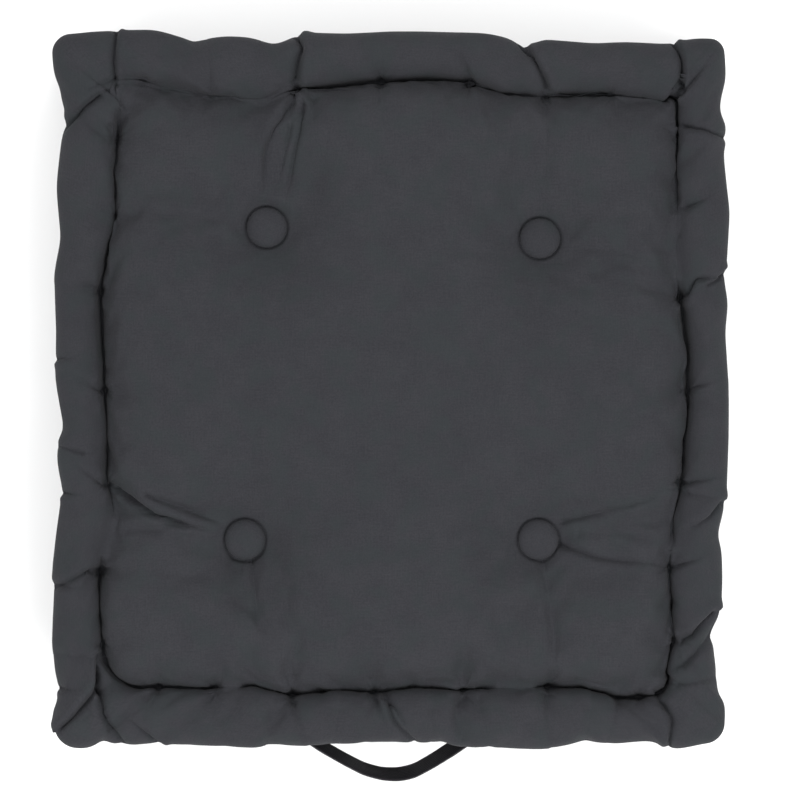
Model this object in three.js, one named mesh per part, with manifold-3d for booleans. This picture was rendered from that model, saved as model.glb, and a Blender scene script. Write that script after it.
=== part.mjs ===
// A square floor cushion of the box-mattress kind: a block of cotton fibre in a cover of two panels and
// four border strips, with a hand-drawn roll along the upper and the lower edge, four tufts that pull a
// covered button into each face, and a webbing handle sewn to the front border.
//
// Frame: millimetres, +Z up, origin on the floor under the middle of the cushion, -Y is the handle's side.

import * as THREE from "three";
import { mergeVertices } from "three/addons/utils/BufferGeometryUtils.js";
import Module from "manifold-3d";

const wasm = await Module();
wasm.setup();

// ---- Driving dimensions ----

const GAP = 0.3; // clearance between pieces that touch on the real cushion

// Pad
const WIDTH = 437;
const DEPTH = 463;
const WAIST = 33; // clear height of the border between the two rolls
const CORNER_RADIUS = 24; // in plan, at the outer line of the rolls
const CORNER_RADIUS_LEAST = 3; // in plan, where the outline is drawn in further than the corner radius
const CORNER_STEPS = 4;
const FABRIC = 0.8;

// Drawn rolls
const ROLL_RADIUS = 16;
const ROLL_DROP = 3; // the upper roll lies this much below the crown
const ROLL_OVER_STEPS = 6; // from the groove over the roll to its outer line
const ROLL_UNDER_STEPS = 3; // from the outer line in to the border
const ROLL_UNDER_TURN = THREE.MathUtils.degToRad(85);
const GROOVE_RISE = 1; // the groove's floor lies this far below the middle of the roll
const GROOVE_FLOOR = 4;
const ROLL_TWINE_RADIUS = 1;
const WAIST_STEP = 2; // the border's face stands this far behind the middle of the rolls
const WAIST_FILLET = 3; // height over which the border runs out into a roll

// Crown of a panel between its groove and its middle
const SHOULDER_RUN = 8;
const SHOULDER_DROP = 9;
const CHEEK_RUN = 30;
const CHEEK_DROP = 3;
const CROWN_RUN = 90;
const CROWN_DROP = 1;
const FLAT_SHOULDER_RUN = 14; // on the lower panel, which its own weight makes flat

// Tufts
const BUTTONS = [
  ["back_left", -80, 104],
  ["back_right", 96, 97],
  ["front_left", -94, -97],
  ["front_right", 95, -97],
];
const UPPER_DIP = 15; // depth of the seat of a button below its face of the pad
const LOWER_DIP = 12;
const DIP_SLOPE_RUN = 19; // in plan, from the seat out to where the dip meets the face
const DIP_SEAT_MARGIN = 1.5; // the seat is this much larger than the button all round
const DIP_MARGIN = 5; // how far the dip's cutter stands out of the pad

// Covered button: a cloth cap over a steel shell, closed by a back plate with a pierced shank
const BUTTON_RADIUS = 13.5;
const BUTTON_HEIGHT = 6.5;
const BUTTON_RIM = 1.5; // height of the widest line above the underside
const BUTTON_STEPS = 16;
const DOME_STEPS = 3;
const CAP_CLOTH = 0.5;
const CAP_TURN_IN = 4; // width of the cloth that is turned in under the shell
const SHELL_WALL = 0.6;
const BACK_PLATE = 0.8;
const SHANK_RADIUS = 3;
const SHANK_LENGTH = 6; // below the underside of the button
const EYE_RADIUS = 1.3;
const EYE_DEPTH = 3.5; // middle of the eye below the underside of the button
const TUFT_TWINE_RADIUS = 0.8;
const TUFT_TWINE_BEND = 1.5;
const TUFT_BEND_STEPS = 3;
const TWINE_SIDES = 8;

// Handle
const STRAP_WIDTH = 20;
const STRAP_THICKNESS = 2;
const STRAP_REACH = 30; // from the swing axis to the middle of the loop
const STRAP_HALF_SPAN = 56; // from the middle to where the loop starts to swing
const STRAP_LEG_ANGLE = THREE.MathUtils.degToRad(35); // of a leg to the border
const STRAP_DROOP = THREE.MathUtils.degToRad(20); // below level, as the loop rests
const STRAP_ARC_STEPS = 12;
const HINGE_STANDOFF = 9; // swing axis from the face of the border
const SEWN_LENGTH = 25;
const SEWN_BEND = 4; // length over which a sewn end lifts off the border
const STITCH_WIDTH = 0.8;
const STITCH_HEIGHT = 0.6;
const STITCH_MARGIN = 2.5; // from the edges of the sewn end
const STRAP_SEAT_MARGIN = 2;

// ---- Sizes that follow ----

const ROLL_WIDTH = 2 * ROLL_RADIUS;
const LOWER_ROLL_Z = ROLL_RADIUS;
const UPPER_ROLL_Z = LOWER_ROLL_Z + ROLL_WIDTH + WAIST;
const HEIGHT = UPPER_ROLL_Z + ROLL_RADIUS + ROLL_DROP; // floor to the crown of the upper panel
const RECESS = ROLL_RADIUS + WAIST_STEP; // the border stands back from the rolls' outer line
const DIP_SEAT_RADIUS = BUTTON_RADIUS + DIP_SEAT_MARGIN;
const BORDER_FACE = -(DEPTH / 2 - RECESS); // Y of the front border's face
const HINGE_Y = BORDER_FACE - HINGE_STANDOFF;
const HINGE_Z = (UPPER_ROLL_Z + LOWER_ROLL_Z) / 2;
const FILL_SKIN = FABRIC + GAP;
const SHANK_HOLE_RADIUS = SHANK_RADIUS + GAP;
const TUFT_STRAND_SPREAD = SHANK_RADIUS + TUFT_TWINE_BEND + GAP; // each strand from the middle of the shank
const TUFT_BORE_RADIUS = TUFT_STRAND_SPREAD + TUFT_TWINE_RADIUS + GAP;

// ---- Materials ----

const cotton = new THREE.MeshStandardMaterial({ color: 0x3f4145, roughness: 0.95, metalness: 0 });
const fibre = new THREE.MeshStandardMaterial({ color: 0xd9d3c4, roughness: 1, metalness: 0 });
const twine = new THREE.MeshStandardMaterial({ color: 0x2b2c2f, roughness: 0.85, metalness: 0 });
const steel = new THREE.MeshStandardMaterial({ color: 0xb5b7ba, roughness: 0.35, metalness: 1 });
const webbing = new THREE.MeshStandardMaterial({ color: 0x1d1e21, roughness: 0.8, metalness: 0 });

// ---- Solids ----

// A closed geometry as a solid that can be joined and cut.
function solidOf(geometry) {
  const plain = new THREE.BufferGeometry();
  plain.setAttribute("position", geometry.getAttribute("position"));
  if (geometry.index) plain.setIndex(geometry.index);
  const merged = mergeVertices(plain, 1e-4);
  return new wasm.Manifold(
    new wasm.Mesh({
      numProp: 3,
      vertProperties: new Float32Array(merged.attributes.position.array),
      triVerts: new Uint32Array(merged.index.array),
    }),
  );
}

// A solid as a geometry with its own vertices on every face.
function geometryOf(solid) {
  const mesh = solid.getMesh();
  const position = new Float32Array(mesh.numVert * 3);
  for (let i = 0; i < mesh.numVert; i++) {
    position.set(mesh.vertProperties.subarray(i * mesh.numProp, i * mesh.numProp + 3), i * 3);
  }
  const indexed = new THREE.BufferGeometry();
  indexed.setAttribute("position", new THREE.BufferAttribute(position, 3));
  indexed.setIndex(new THREE.BufferAttribute(new Uint32Array(mesh.triVerts), 1));
  const geometry = indexed.toNonIndexed();
  geometry.computeVertexNormals();
  return geometry;
}

function boxSolid(low, high) {
  const size = high.map((value, axis) => value - low[axis]);
  const geometry = new THREE.BoxGeometry(...size);
  geometry.translate(...low.map((value, axis) => value + size[axis] / 2));
  return solidOf(geometry);
}

// A solid turned about a vertical axis, from [radius, height] points in anticlockwise order.
function turned(points, steps = BUTTON_STEPS) {
  const profile = points.map(([radius, height]) => new THREE.Vector2(radius, height));
  return new THREE.LatheGeometry(profile, steps).rotateX(Math.PI / 2);
}

const group = new THREE.Group();

function addMesh(name, geometry, material, parent = group) {
  const mesh = new THREE.Mesh(geometry, material);
  mesh.name = name;
  parent.add(mesh);
  return mesh;
}

// ---- The pad's outer form ----

// The plan outline, drawn in by inset, at height z.
function outline(inset, z) {
  const radius = Math.max(CORNER_RADIUS - inset, CORNER_RADIUS_LEAST);
  const centreX = WIDTH / 2 - inset - radius;
  const centreY = DEPTH / 2 - inset - radius;
  const quadrants = [[1, 1], [-1, 1], [-1, -1], [1, -1]];
  return quadrants.flatMap(([signX, signY], quadrant) =>
    Array.from({ length: CORNER_STEPS + 1 }, (_, step) => {
      const angle = ((quadrant + step / CORNER_STEPS) * Math.PI) / 2;
      return new THREE.Vector3(
        signX * centreX + radius * Math.cos(angle),
        signY * centreY + radius * Math.sin(angle),
        z,
      );
    }),
  );
}

// The half of the pad's profile above or below its waist, from the middle of a panel out to the border, as
// [inset, height] points of a surface that lies skin below the cover's face.
function halfProfile(isUpper, skin) {
  const side = isUpper ? 1 : -1;
  const face = isUpper ? HEIGHT : 0;
  const rollZ = isUpper ? UPPER_ROLL_Z : LOWER_ROLL_Z;
  const shoulder = ROLL_WIDTH + GROOVE_FLOOR + (isUpper ? SHOULDER_RUN : FLAT_SHOULDER_RUN);
  const crown = isUpper
    ? [[CROWN_RUN + shoulder, CROWN_DROP], [CHEEK_RUN + shoulder, CHEEK_DROP], [shoulder, SHOULDER_DROP]]
    : [[shoulder, 0]];
  const points = crown.map(([inset, drop]) => [inset, face - side * (drop + skin)]);
  const floor = rollZ - side * (GROOVE_RISE + skin);
  points.push([ROLL_WIDTH + GROOVE_FLOOR, floor], [ROLL_WIDTH - skin, floor]);
  for (let step = -ROLL_OVER_STEPS; step <= ROLL_UNDER_STEPS; step++) {
    const turn = step < 0 ? Math.PI / ROLL_OVER_STEPS : ROLL_UNDER_TURN / ROLL_UNDER_STEPS;
    const radius = ROLL_RADIUS - skin;
    points.push([
      ROLL_RADIUS - radius * Math.cos(step * turn),
      rollZ - side * radius * Math.sin(step * turn),
    ]);
  }
  points.push([RECESS + skin, rollZ - side * (ROLL_RADIUS + WAIST_FILLET)]);
  return points;
}

// The whole pad without its tufts: outlines stacked along the profile, closed at the middle of each panel.
function padForm(skin) {
  const profile = [...halfProfile(true, skin), ...halfProfile(false, skin).reverse()];
  const loops = profile.map(([inset, z]) => outline(inset, z));
  const count = loops[0].length;
  const vertices = loops.flat();
  vertices.push(new THREE.Vector3(0, 0, HEIGHT - skin), new THREE.Vector3(0, 0, skin));
  const top = vertices.length - 2;
  const bottom = vertices.length - 1;
  const last = (loops.length - 1) * count;
  const faces = [];
  for (let i = 0; i < count; i++) {
    const j = (i + 1) % count;
    faces.push(top, i, j, bottom, last + j, last + i);
    for (let k = 0; k < last; k += count) {
      faces.push(k + i, k + count + i, k + j, k + j, k + count + i, k + count + j);
    }
  }
  const geometry = new THREE.BufferGeometry().setFromPoints(vertices);
  geometry.setIndex(faces);
  return solidOf(geometry);
}

// What a tuft takes out of one face of the pad, down to skin below the button's seat.
function dip([, x, y], isUpper, skin) {
  const depth = (isUpper ? UPPER_DIP : LOWER_DIP) + skin;
  const slope = DIP_SLOPE_RUN / (isUpper ? UPPER_DIP : LOWER_DIP);
  const geometry = turned([
    [0, -depth],
    [DIP_SEAT_RADIUS + skin, -depth],
    [DIP_SEAT_RADIUS + DIP_SLOPE_RUN + skin + DIP_MARGIN * slope, DIP_MARGIN],
    [0, DIP_MARGIN],
  ]);
  if (!isUpper) geometry.rotateX(Math.PI);
  return solidOf(geometry.translate(x, y, isUpper ? HEIGHT : 0));
}

function tuftedForm(skin) {
  return BUTTONS.reduce(
    (form, button) => form.subtract(dip(button, true, skin)).subtract(dip(button, false, skin)),
    padForm(skin),
  );
}

// A hole right through the pad at each tuft.
function pierced(solid, radius) {
  return BUTTONS.reduce((form, [, x, y]) => {
    const low = -DIP_MARGIN;
    const high = HEIGHT + DIP_MARGIN;
    const hole = turned([[0, low], [radius, low], [radius, high], [0, high]]);
    return form.subtract(solidOf(hole.translate(x, y, 0)));
  }, solid);
}

// ---- Cover and filling ----

function addCover() {
  const cover = pierced(tuftedForm(0).subtract(tuftedForm(FABRIC)), SHANK_HOLE_RADIUS);
  const slab = (low, high, inset = -DEPTH) => {
    const halfX = WIDTH / 2 - inset;
    const halfY = DEPTH / 2 - inset;
    return boxSolid([-halfX, -halfY, low], [halfX, halfY, high]);
  };

  // A panel reaches out to the seam along the outer line of its roll, and takes in the floor of its groove.
  const withinBorder = (RECESS + ROLL_WIDTH) / 2;
  const high = HEIGHT + DIP_MARGIN;
  const low = -DIP_MARGIN;
  const upper = slab(UPPER_ROLL_Z + GAP / 2, high).add(slab(HINGE_Z, high, withinBorder));
  const lower = slab(low, LOWER_ROLL_Z - GAP / 2).add(slab(low, HINGE_Z, withinBorder));
  addMesh("top_panel", geometryOf(cover.intersect(upper)), cotton);
  addMesh("bottom_panel", geometryOf(cover.intersect(lower)), cotton);

  // The border strips meet in a seam on the diagonal of each corner.
  const band = slab(LOWER_ROLL_Z + GAP / 2, UPPER_ROLL_Z - GAP / 2);
  const border = cover.intersect(band.subtract(slab(0, HEIGHT, withinBorder)));
  const cornerX = WIDTH / 2 - CORNER_RADIUS;
  const cornerY = DEPTH / 2 - CORNER_RADIUS;
  const sides = [
    ["border_front", 0, -1],
    ["border_right", 1, 0],
    ["border_back", 0, 1],
    ["border_left", -1, 0],
  ];
  for (const [name, signX, signY] of sides) {
    addMesh(name, geometryOf(border.intersect(borderSector(signX, signY, cornerX, cornerY))), cotton);
  }
}

// The part of the plan that belongs to one border strip, between the diagonals of the corners beside it.
function borderSector(signX, signY, cornerX, cornerY) {
  const reach = WIDTH + DEPTH;
  const seam = GAP / 2;
  const alongX = signY !== 0;
  const half = alongX ? cornerX : cornerY;
  const base = alongX ? cornerY : cornerX;
  // Drawn with the strip on the +Y side of the plan, and then turned to its own side.
  const shape = new THREE.Shape([
    new THREE.Vector2(-half + seam, 0),
    new THREE.Vector2(half - seam, 0),
    new THREE.Vector2(half - seam, base),
    new THREE.Vector2(half - seam + reach, base + reach),
    new THREE.Vector2(-half + seam - reach, base + reach),
    new THREE.Vector2(-half + seam, base),
  ]);
  const geometry = new THREE.ExtrudeGeometry(shape, { depth: HEIGHT, bevelEnabled: false });
  geometry.rotateZ(Math.atan2(-signX, signY));
  return solidOf(geometry);
}

function addFilling() {
  addMesh("filling", geometryOf(pierced(tuftedForm(FILL_SKIN), TUFT_BORE_RADIUS)), fibre);
}

// ---- Tufts ----

// Points of a button's dome from its widest line up to the axis, drawn in by inset.
function dome(inset) {
  const rise = BUTTON_HEIGHT - BUTTON_RIM - inset;
  return Array.from({ length: DOME_STEPS + 1 }, (_, step) => {
    const angle = ((step / DOME_STEPS) * Math.PI) / 2;
    const radius = step === DOME_STEPS ? 0 : (BUTTON_RADIUS - inset) * Math.cos(angle);
    return [radius, BUTTON_RIM + rise * Math.sin(angle)];
  });
}

// Height 0 is the underside of the button, which rests on the cover.
function capCloth() {
  const turnIn = BUTTON_RADIUS - CAP_TURN_IN;
  return turned([
    [turnIn, CAP_CLOTH],
    [turnIn, 0],
    [BUTTON_RADIUS - CAP_CLOTH, 0],
    ...dome(0),
    ...dome(CAP_CLOTH).reverse(),
    [BUTTON_RADIUS - 2 * CAP_CLOTH, CAP_CLOTH],
    [turnIn, CAP_CLOTH],
  ]);
}

function capShell() {
  const inset = CAP_CLOTH + GAP;
  const foot = CAP_CLOTH + GAP;
  return turned([
    ...dome(inset + SHELL_WALL).reverse(),
    [BUTTON_RADIUS - inset - SHELL_WALL, foot],
    [BUTTON_RADIUS - inset - GAP, foot],
    ...dome(inset),
  ]);
}

function backPlate() {
  const foot = CAP_CLOTH + GAP;
  const plateRadius = BUTTON_RADIUS - CAP_CLOTH - SHELL_WALL - 3 * GAP;
  const plate = solidOf(
    turned([
      [0, -SHANK_LENGTH],
      [SHANK_RADIUS, -SHANK_LENGTH],
      [SHANK_RADIUS, foot],
      [plateRadius, foot],
      [plateRadius, foot + BACK_PLATE],
      [0, foot + BACK_PLATE],
    ]),
  );
  const eye = new THREE.CylinderGeometry(EYE_RADIUS, EYE_RADIUS, 4 * SHANK_RADIUS, TWINE_SIDES);
  return geometryOf(plate.subtract(solidOf(eye.rotateZ(Math.PI / 2).translate(0, 0, -EYE_DEPTH))));
}

// One loop of twine through the eyes of the upper and the lower button, as points of the XZ plane.
function twineLoop(lowZ, highZ) {
  const centreX = TUFT_STRAND_SPREAD - TUFT_TWINE_BEND;
  const quadrants = [[1, 1], [-1, 1], [-1, -1], [1, -1]];
  return quadrants.flatMap(([signX, signZ], quadrant) =>
    Array.from({ length: TUFT_BEND_STEPS + 1 }, (_, step) => {
      const angle = ((quadrant + step / TUFT_BEND_STEPS) * Math.PI) / 2;
      const centreZ = signZ > 0 ? highZ - TUFT_TWINE_BEND : lowZ + TUFT_TWINE_BEND;
      return new THREE.Vector3(
        signX * centreX + TUFT_TWINE_BEND * Math.cos(angle),
        0,
        centreZ + TUFT_TWINE_BEND * Math.sin(angle),
      );
    }),
  );
}

function addTufts() {
  const upperSeat = HEIGHT - UPPER_DIP + GAP;
  const lowerSeat = LOWER_DIP - GAP;
  for (const [place, x, y] of BUTTONS) {
    for (const [side, seat] of [["top", upperSeat], ["bottom", lowerSeat]]) {
      const button = new THREE.Group();
      button.position.set(x, y, seat);
      if (side === "bottom") button.rotation.x = Math.PI;
      addMesh(`button_cloth_${side}_${place}`, capCloth(), cotton, button);
      addMesh(`button_shell_${side}_${place}`, capShell(), steel, button);
      addMesh(`button_back_${side}_${place}`, backPlate(), steel, button);
      group.add(button);
    }
    const loop = twineLoop(lowerSeat + EYE_DEPTH, upperSeat - EYE_DEPTH);
    const geometry = ringGeometry(loop, TUFT_TWINE_RADIUS, new THREE.Vector3(0, 1, 0));
    addMesh(`tuft_twine_${place}`, geometry, twine).position.set(x, y, 0);
  }
}

// A closed tube of a round section through points that lie in one plane with that normal.
function ringGeometry(points, radius, normal) {
  const sides = TWINE_SIDES;
  const count = points.length;
  const vertices = points.flatMap((point, i) => {
    const before = points[(i + count - 1) % count];
    const after = points[(i + 1) % count];
    const along = after.clone().sub(before).normalize();
    const across = along.clone().cross(normal).normalize();
    return Array.from({ length: sides }, (_, side) => {
      const angle = (side / sides) * Math.PI * 2;
      return point
        .clone()
        .addScaledVector(across, radius * Math.cos(angle))
        .addScaledVector(normal, radius * Math.sin(angle));
    });
  });
  const faces = [];
  for (let i = 0; i < count; i++) {
    const j = (i + 1) % count;
    for (let side = 0; side < sides; side++) {
      const next = (side + 1) % sides;
      const corners = [i * sides + side, i * sides + next, j * sides + side, j * sides + next];
      faces.push(corners[0], corners[2], corners[1], corners[1], corners[2], corners[3]);
    }
  }
  const geometry = new THREE.BufferGeometry().setFromPoints(vertices);
  geometry.setIndex(faces);
  return geometry;
}

// ---- Roll twine ----

// The twine that draws a roll in lies along the floor of its groove.
function addRollTwines() {
  const inset = ROLL_WIDTH + GROOVE_FLOOR / 2;
  const lift = ROLL_TWINE_RADIUS + GAP - GROOVE_RISE;
  const sides = [["roll_twine_top", UPPER_ROLL_Z + lift], ["roll_twine_bottom", LOWER_ROLL_Z - lift]];
  for (const [name, z] of sides) {
    const geometry = ringGeometry(outline(inset, z), ROLL_TWINE_RADIUS, new THREE.Vector3(0, 0, 1));
    addMesh(name, geometry, twine);
  }
}

// ---- Handle ----

// A strap of even thickness whose middle line runs through points of the XY plane.
function strapShape(points) {
  const half = STRAP_THICKNESS / 2;
  const normals = points.map((_, i) => {
    const before = points[Math.max(i - 1, 0)];
    const after = points[Math.min(i + 1, points.length - 1)];
    const along = after.clone().sub(before).normalize();
    return new THREE.Vector2(-along.y, along.x);
  });
  const left = points.map((point, i) => point.clone().addScaledVector(normals[i], half));
  const right = points.map((point, i) => point.clone().addScaledVector(normals[i], -half));
  return new THREE.Shape([...left, ...right.reverse()]);
}

function strapGeometry(points) {
  const geometry = new THREE.ExtrudeGeometry(strapShape(points), { depth: STRAP_WIDTH, bevelEnabled: false });
  return geometry.translate(0, 0, -STRAP_WIDTH / 2);
}

// The loop's middle line, from its left end to its right end: a straight leg, an arc and a straight leg.
// Y is the distance from the swing axis, measured towards the border.
function loopLine() {
  const slope = Math.tan(STRAP_LEG_ANGLE);
  const sine = Math.sin(STRAP_LEG_ANGLE);
  const radius =
    (STRAP_HALF_SPAN * slope - STRAP_REACH) / (sine * slope - (1 - Math.cos(STRAP_LEG_ANGLE)));
  const points = [new THREE.Vector2(-STRAP_HALF_SPAN, 0)];
  for (let step = 0; step <= STRAP_ARC_STEPS; step++) {
    const angle = STRAP_LEG_ANGLE * ((2 * step) / STRAP_ARC_STEPS - 1);
    const reach = STRAP_REACH - radius + radius * Math.cos(angle);
    points.push(new THREE.Vector2(radius * Math.sin(angle), -reach));
  }
  points.push(new THREE.Vector2(STRAP_HALF_SPAN, 0));
  return points;
}

function addHandle() {
  const pivot = new THREE.Group();
  pivot.position.set(0, HINGE_Y, HINGE_Z);
  pivot.rotation.x = STRAP_DROOP;
  const loop = solidOf(strapGeometry(loopLine()));
  const reach = STRAP_HALF_SPAN - GAP / 2;
  const within = boxSolid([-reach, -DEPTH, -HEIGHT], [reach, DEPTH, HEIGHT]);
  addMesh("handle_loop", geometryOf(loop.intersect(within)), webbing, pivot);
  group.add(pivot);

  const rest = BORDER_FACE - GAP - STRAP_THICKNESS / 2;
  const lift = (rest - HINGE_Y) / Math.tan(STRAP_LEG_ANGLE);
  const bendX = STRAP_HALF_SPAN + lift;
  const overrun = SEWN_BEND;
  for (const [side, sign] of [["left", -1], ["right", 1]]) {
    const line = [
      [bendX + SEWN_LENGTH, rest],
      [bendX + SEWN_BEND / 2, rest],
      [bendX - SEWN_BEND / 2, rest - (SEWN_BEND / 2) * Math.tan(STRAP_LEG_ANGLE)],
      [STRAP_HALF_SPAN - overrun, HINGE_Y - overrun * Math.tan(STRAP_LEG_ANGLE)],
    ].map(([x, y]) => new THREE.Vector2(sign * x, y));
    const end = solidOf(strapGeometry(sign < 0 ? line : line.reverse()));
    const inner = STRAP_HALF_SPAN + GAP / 2;
    const keep = [sign * inner, sign * WIDTH].sort((a, b) => a - b);
    const beyond = boxSolid([keep[0], -DEPTH, -HEIGHT], [keep[1], DEPTH, HEIGHT]);
    addMesh(`handle_end_${side}`, geometryOf(end.intersect(beyond)), webbing).position.z = HINGE_Z;

    const stitch = addMesh(`handle_stitching_${side}`, boxStitch(), twine);
    const faceY = rest - STRAP_THICKNESS / 2 - GAP;
    stitch.position.set(sign * (bendX + SEWN_LENGTH / 2 + SEWN_BEND / 4), faceY, HINGE_Z);
  }
}

// Four lines of stitching in a rectangle and two across it, standing up towards -Y from height 0.
function boxStitch() {
  const halfX = SEWN_LENGTH / 2 - STITCH_MARGIN - SEWN_BEND / 4;
  const halfZ = STRAP_WIDTH / 2 - STITCH_MARGIN;
  const corner = (x, z) => new THREE.Vector2(x, z);
  const outer = [
    corner(-halfX, -halfZ),
    corner(halfX, -halfZ),
    corner(halfX, halfZ),
    corner(-halfX, halfZ),
  ];
  const shape = new THREE.Shape(outer);
  // Each window between the lines is the triangle from the middle to one side, less a line's width.
  const shrink = corner(1 - STITCH_WIDTH / halfX, 1 - STITCH_WIDTH / halfZ);
  const inner = outer.map((point) => point.clone().multiply(shrink));
  const diagonal = Math.hypot(halfX, halfZ);
  inner.forEach((start, i) => {
    const end = inner[(i + 1) % inner.length];
    const middle = start.clone().add(end).multiplyScalar(0.5);
    const clear = (STITCH_WIDTH * diagonal) / (2 * middle.length());
    const towards = (point) => point.clone().add(middle.clone().sub(point).setLength(clear));
    const tip = middle.clone().setLength(clear);
    shape.holes.push(new THREE.Path([towards(start), towards(end), tip]));
  });
  const geometry = new THREE.ExtrudeGeometry(shape, { depth: STITCH_HEIGHT, bevelEnabled: false });
  return geometry.rotateX(Math.PI / 2);
}

addCover();
addFilling();
addTufts();
addRollTwines();
addHandle();

export default group;
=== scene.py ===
import bmesh
import bpy
import math
import numpy as np
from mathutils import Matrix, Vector


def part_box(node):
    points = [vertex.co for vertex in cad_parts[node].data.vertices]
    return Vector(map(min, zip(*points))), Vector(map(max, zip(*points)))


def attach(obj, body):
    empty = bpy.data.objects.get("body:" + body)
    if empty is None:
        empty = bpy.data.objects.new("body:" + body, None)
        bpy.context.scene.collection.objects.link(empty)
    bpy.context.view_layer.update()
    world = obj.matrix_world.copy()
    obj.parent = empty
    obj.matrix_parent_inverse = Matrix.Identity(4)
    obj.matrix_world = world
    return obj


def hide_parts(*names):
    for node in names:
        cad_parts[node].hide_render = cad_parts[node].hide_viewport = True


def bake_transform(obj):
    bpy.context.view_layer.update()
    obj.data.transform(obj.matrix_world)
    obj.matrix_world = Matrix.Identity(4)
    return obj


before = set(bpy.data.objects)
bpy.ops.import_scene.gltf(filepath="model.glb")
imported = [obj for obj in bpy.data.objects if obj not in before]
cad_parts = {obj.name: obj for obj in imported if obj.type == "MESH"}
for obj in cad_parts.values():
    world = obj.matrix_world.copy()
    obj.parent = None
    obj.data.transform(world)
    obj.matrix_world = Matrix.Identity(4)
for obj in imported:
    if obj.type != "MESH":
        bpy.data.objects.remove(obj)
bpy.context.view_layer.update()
scene = bpy.context.scene
MM = 0.001


# ---- Camera ----
# It hangs straight above the cushion and looks down through a long lens.


def new_object(name, data):
    made = bpy.data.objects.new(name, data)
    scene.collection.objects.link(made)
    return made


camera_data = bpy.data.cameras.new("camera")
camera_data.lens = 203.5
camera_data.sensor_width = 36
camera_data.clip_end = 20
camera = new_object("camera", camera_data)
camera.location = (0.0058, -0.0071, 3.0)
scene.camera = camera


# ---- Cover ----
# Two panels and four border strips of charcoal cotton canvas, sewn together along the outer line of each
# roll and up the corners, over one mass of cotton fibre. The rolls are drawn up by hand with heavy twine, a
# stitch about every 55 mm, which gathers the canvas into folds. Four tufts pull both panels in.

OUTLINE_HALF = (214.2, 227.2)  # straight edges that the rolls' outer line wanders about, in mm
GROOVE_HALF = (184.0, 194.0)  # straight edges that the rolls' inner line wanders about
OUTLINE_CORNERS = (10, 10, 13, 13)  # radii: back right, back left, front left, front right
GROOVE_CORNERS = (8, 8, 28, 12)
SIDE_COLUMNS = 96
CORNER_COLUMNS = 14
UPPER_Z = 81.0  # middle of the upper roll
LOWER_Z = 16.0
UPPER_RISE = 14.5
LOWER_RISE = 15.8
HALF_WAY = 48.0  # a height between the two rolls
UNDER_EDGE = 1.5  # how far the lower roll stays inside the upper one
FLOOR_GAP = 0.3  # between the canvas and the floor
SIDES = {"right": (1, 0), "back": (0, 1), "left": (-1, 0), "front": (0, -1)}
TUFTS = np.array([(-80.0, 104.0), (96.0, 97.0), (-94.0, -97.0), (95.0, -97.0)])
TUFT_SEAT = 13.0  # radius of the canvas under a button
STRAP_Z = 48.5  # the height at which the handle lies on the border

# How far each line stands out from its straight edge: (place along the side, distance), by Y on the right
# and the left and by X on the back and the front.
OUTLINE = {
    "right": [(217, 0), (202, 2), (179, 0), (168, 4), (158, 1), (147, 0), (132, 1), (113, 3), (78, 0.5),
        (70, -1), (55, 1.5), (36, -0.5), (0, 2), (-30, 2), (-61, 1), (-76, 0), (-92, -5), (-104, -2.5),
        (-123, -2), (-146, -3), (-156, -9.5), (-178, -6), (-194, -5), (-201, 0), (-216, 0)],
    "back": [(-206, 1.5), (-190, 2.5), (-175, 3), (-152, 3), (-128, -4), (-105, -1), (-90, -2),
        (-74, -7.5), (-59, 1.5), (-28, 0.5), (0, 2), (20, 2), (60, 1), (75, -2), (89, -9.5), (96, -3),
        (131, -6), (150, -5), (172, -5.5), (197, -1), (208, -1)],
    "left": [(218, 3.5), (204, 3), (195, 0.5), (185, -0.5), (177, -3), (163, 0), (128, 0.5), (97, -3),
        (74, 1.5), (36, 0), (8, 1), (-26, -5), (-35, -0.5), (-47, -0.5), (-65, -4), (-92, 0), (-116, 3),
        (-135, 2), (-162, 3.5), (-184, 2), (-193, 0), (-204, 3), (-216, 3.5)],
    "front": [(-206, 2.5), (-197, 4.5), (-182, 0.5), (-174, 4), (-167, 4.5), (-153, 3.5), (-121, 4),
        (-90, 3.5), (-62, 3), (-27, 2), (10, 1.5), (34, 2.5), (57, 4), (88, 5), (104, 4.5), (120, 1.5),
        (143, 3.5), (166, 2), (181, 6), (205, -0.5)],
}
GROOVE = {
    "right": [(183, 1), (164, 1), (116, 1), (90, -1), (59, 2), (28, 6), (-2, 7), (-36, 4), (-61, 3),
        (-81, -2), (-101, -3), (-117, -4), (-143, -3), (-162, -1), (-178, -6), (-190, -8)],
    "back": [(-180, 3), (-164, 6), (-149, 1), (-120, -4), (-85, -7), (-61, -1), (-33, 1), (-7, 4),
        (22, 5), (51, 4), (70, -3), (98, -5), (145, -4), (182, -9)],
    "left": [(180, -8), (161, -6), (112, -6), (77, 1), (63, 4), (12, 1), (-1, 1), (-30, -1), (-60, -1),
        (-79, -6), (-117, 4), (-149, 4), (-172, 3)],
    "front": [(-156, -1), (-116, 0), (-88, -2), (-64, 4), (-36, 0), (-12, 2), (16, -1), (46, 1), (70, -1),
        (122, -1), (145, 5), (161, 5), (175, 2)],
}
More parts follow.
